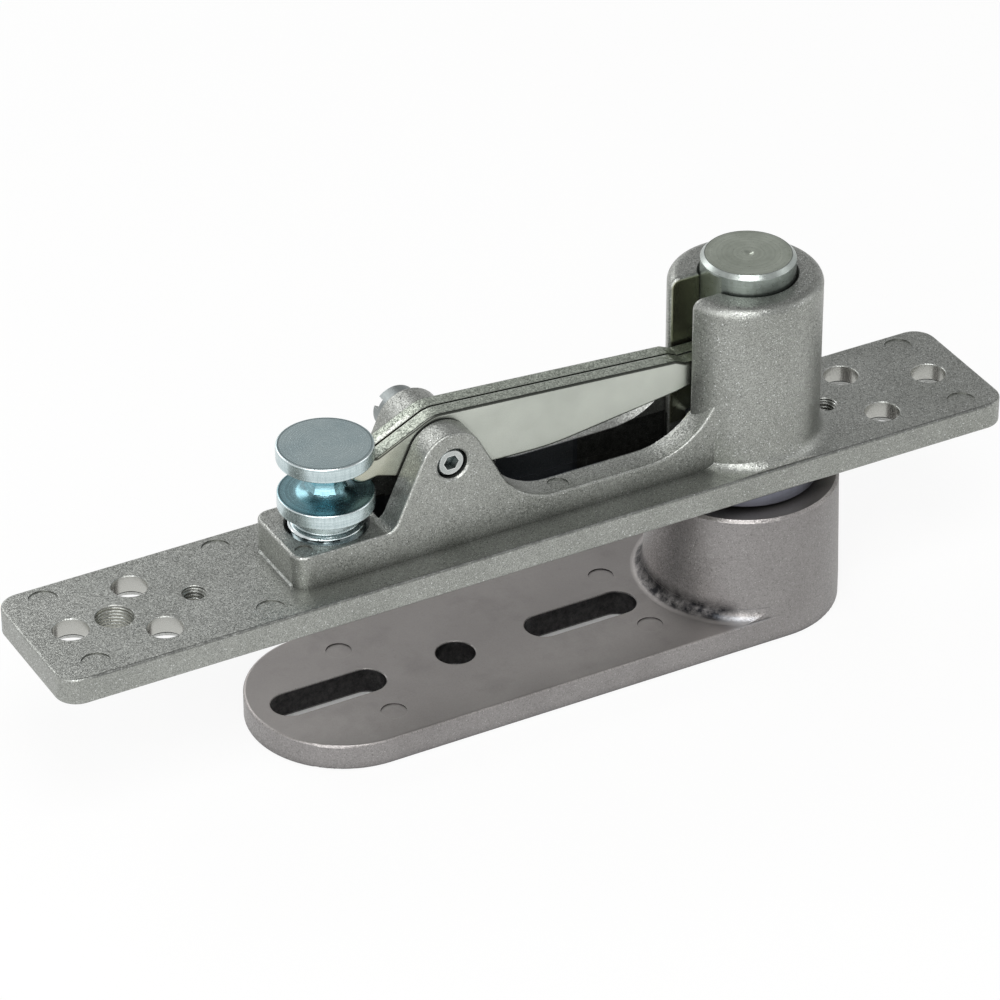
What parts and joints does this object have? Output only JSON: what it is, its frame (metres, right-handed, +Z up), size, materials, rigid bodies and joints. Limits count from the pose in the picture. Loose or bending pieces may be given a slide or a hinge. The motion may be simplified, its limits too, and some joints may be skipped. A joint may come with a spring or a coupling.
{
  "type": "glass door pivot hinge",
  "caption": "Adjustable top pivot for a swing door: frame plate with a lever-lifted sliding pin that engages a slotted door arm.",
  "frame": {"origin": "under the middle of the frame plate's plan, at the height of the door arm's underside", "axes": "+X along the frame plate towards the pivot pin, +Y across it towards the slotted screw head, +Z up along the pin"},
  "size_m": [0.22, 0.042, 0.083],
  "materials": {
    "frame_alloy": "blasted die casting, fine sparkle",
    "arm_alloy": "raw casting, matt",
    "pin_steel": "turned, zinc plated",
    "screw_steel": "turned, blue zinc plated",
    "lever_steel": "blanked plate, zinc plated",
    "bolt_steel": "zinc plated",
    "bush_steel": "smooth",
    "bush_bronze": "sintered bronze, plain"
  },
  "bodies": {
    "frame": {"frame_casting": "frame_alloy", "frame_bush": "bush_steel", "lever_pivot_screw": "bolt_steel", "pivot_lock_screw": "bolt_steel"},
    "door_arm": {"door_arm": "arm_alloy", "arm_bush": "bush_bronze"},
    "lever": {"lever_plate_front": "lever_steel", "lever_plate_rear": "lever_steel"},
    "pivot_pin": {"pivot_pin": "pin_steel"},
    "adjusting_screw": {"adjusting_screw": "screw_steel"}
  },
  "joints": [
    {"name": "door_arm_turn", "type": "hinge", "parent": "frame", "child": "door_arm", "pos_m": [0.0548, 0, 0.02], "axis": [0, 0, 1], "continuous": true},
    {"name": "lever_tilt", "type": "hinge", "parent": "frame", "child": "lever", "pos_m": [-0.0198, 0, 0.0599], "axis": [0, -1, 0], "range_deg": [0, 14]},
    {"name": "pivot_pin_lift", "type": "slide", "parent": "frame", "child": "pivot_pin", "axis": [0, 0, 1], "range_m": [0, 0.0182]},
    {"name": "adjusting_screw_travel", "type": "slide", "parent": "frame", "child": "adjusting_screw", "axis": [0, 0, -1], "range_m": [0, 0.0042]}
  ],
  "couplings": [
    {"joint": "pivot_pin_lift", "follows": "lever_tilt", "m_per_rad": 0.0742},
    {"joint": "adjusting_screw_travel", "follows": "lever_tilt", "m_per_rad": 0.0168}
  ]
}
